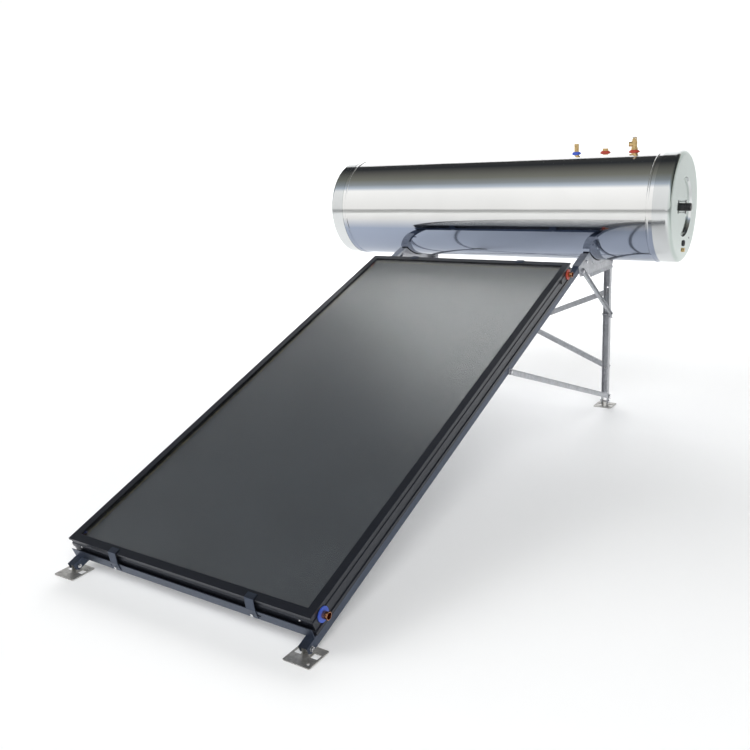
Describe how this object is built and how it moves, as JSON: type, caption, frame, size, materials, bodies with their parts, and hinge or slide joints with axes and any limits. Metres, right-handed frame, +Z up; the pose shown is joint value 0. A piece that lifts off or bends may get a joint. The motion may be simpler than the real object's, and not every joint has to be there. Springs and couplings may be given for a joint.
{
  "type": "solar water heater",
  "caption": "Close-coupled solar water heater: a flat glazed collector on a sloping steel stand with a horizontal mirror-finish storage tank across its top end.",
  "frame": {"origin": "on the ground, on the collector's middle plane, halfway between the front of the front feet and the back of the tank", "axes": "+Z up, +Y from the low front edge of the collector towards the tank, +X to the right of someone facing the collector"},
  "size_m": [1.784, 2.5655, 1.3078],
  "materials": {
    "black_anodised": "satin",
    "rivet_steel": "satin",
    "solar_glass": "gloss",
    "seal_rubber": "matte",
    "selective_coating": "matte",
    "copper": "polished",
    "blue_rubber": "satin",
    "red_rubber": "satin",
    "black_plastic": "satin",
    "mineral_wool": "matte",
    "back_metal": "satin",
    "mirror_steel": "polished",
    "cap_metal": "polished",
    "foam": "matte",
    "tank_steel": "satin",
    "element_steel": "satin",
    "magnesium": "matte",
    "brass": "satin",
    "lever_steel": "polished",
    "dark_zinc": "satin",
    "galvanised": "satin",
    "foot_steel": "satin",
    "bolt_steel": "polished"
  },
  "bodies": {
    "heater": {"frame_front": "black_anodised", "frame_back": "black_anodised", "frame_left": "black_anodised", "frame_right": "black_anodised", "frame_rivets": "rivet_steel", "cap_screws": "rivet_steel", "clip_bolts": "rivet_steel", "glass_cover": "solar_glass", "glass_gasket": "seal_rubber", "saddle_pads": "seal_rubber", "cable_gland": "seal_rubber", "absorber_plate": "selective_coating", "riser_tubes": "copper", "header_lower": "copper", "header_upper": "copper", "cold_header_grommets": "blue_rubber", "cold_inlet_collar": "blue_rubber", "hot_header_grommets": "red_rubber", "hot_collars": "red_rubber", "vent_plugs": "black_plastic", "heater_cover": "black_plastic", "insulation_pad": "mineral_wool", "back_sheet": "back_metal", "tank_shell": "mirror_steel", "end_cap_left": "cap_metal", "end_cap_right": "cap_metal", "foam_sleeve": "foam", "foam_ends": "foam", "inner_tank": "tank_steel", "end_bosses": "tank_steel", "loop_ports": "tank_steel", "heater_element": "element_steel", "anode_rod": "magnesium", "drain_plug": "brass", "cold_inlet_pipe": "brass", "hot_outlet_pipe": "brass", "relief_valve_body": "brass", "relief_lever_pin": "lever_steel", "slope_rail_left": "dark_zinc", "slope_rail_right": "dark_zinc", "front_beam": "dark_zinc", "back_beam": "dark_zinc", "collector_clips": "dark_zinc", "rear_leg_left": "galvanised", "rear_leg_right": "galvanised", "saddle_left": "galvanised", "saddle_right": "galvanised", "upper_strut_left": "galvanised", "upper_strut_right": "galvanised", "lower_strut_left": "galvanised", "lower_strut_right": "galvanised", "cross_braces": "galvanised", "stand_bolts": "bolt_steel", "foot_bolts": "bolt_steel"},
    "foot_front_left": {"foot_front_left": "foot_steel"},
    "foot_front_right": {"foot_front_right": "foot_steel"},
    "foot_rear_left": {"foot_rear_left": "foot_steel"},
    "foot_rear_right": {"foot_rear_right": "foot_steel"},
    "relief_lever": {"relief_valve_lever": "lever_steel"},
    "relief_stem": {"relief_valve_stem": "brass"}
  },
  "joints": [
    {"name": "foot_front_left_tilt", "type": "hinge", "parent": "heater", "child": "foot_front_left", "pos_m": [-0.481, -1.22975, 0.022], "axis": [1, 0, 0], "range_deg": [-30, 20]},
    {"name": "foot_front_right_tilt", "type": "hinge", "parent": "heater", "child": "foot_front_right", "pos_m": [0.481, -1.22975, 0.022], "axis": [1, 0, 0], "range_deg": [-30, 20]},
    {"name": "foot_rear_left_tilt", "type": "hinge", "parent": "heater", "child": "foot_rear_left", "pos_m": [-0.481, 1.20425, 0.022], "axis": [1, 0, 0], "range_deg": [-30, 30]},
    {"name": "foot_rear_right_tilt", "type": "hinge", "parent": "heater", "child": "foot_rear_right", "pos_m": [0.481, 1.20425, 0.022], "axis": [1, 0, 0], "range_deg": [-30, 30]},
    {"name": "relief_lever_lift", "type": "hinge", "parent": "heater", "child": "relief_lever", "pos_m": [0.641, 1.04625, 1.301], "axis": [-1, 0, 0], "range_deg": [0, 80], "stiffness_Nm_per_rad": 0.02, "springref_deg": -20.05},
    {"name": "relief_stem_rise", "type": "slide", "parent": "heater", "child": "relief_stem", "axis": [0, 0, 1], "range_m": [0, 0.0045]}
  ],
  "couplings": [
    {"joint": "relief_stem_rise", "follows": "relief_lever_lift", "m_per_rad": 0.002865}
  ]
}
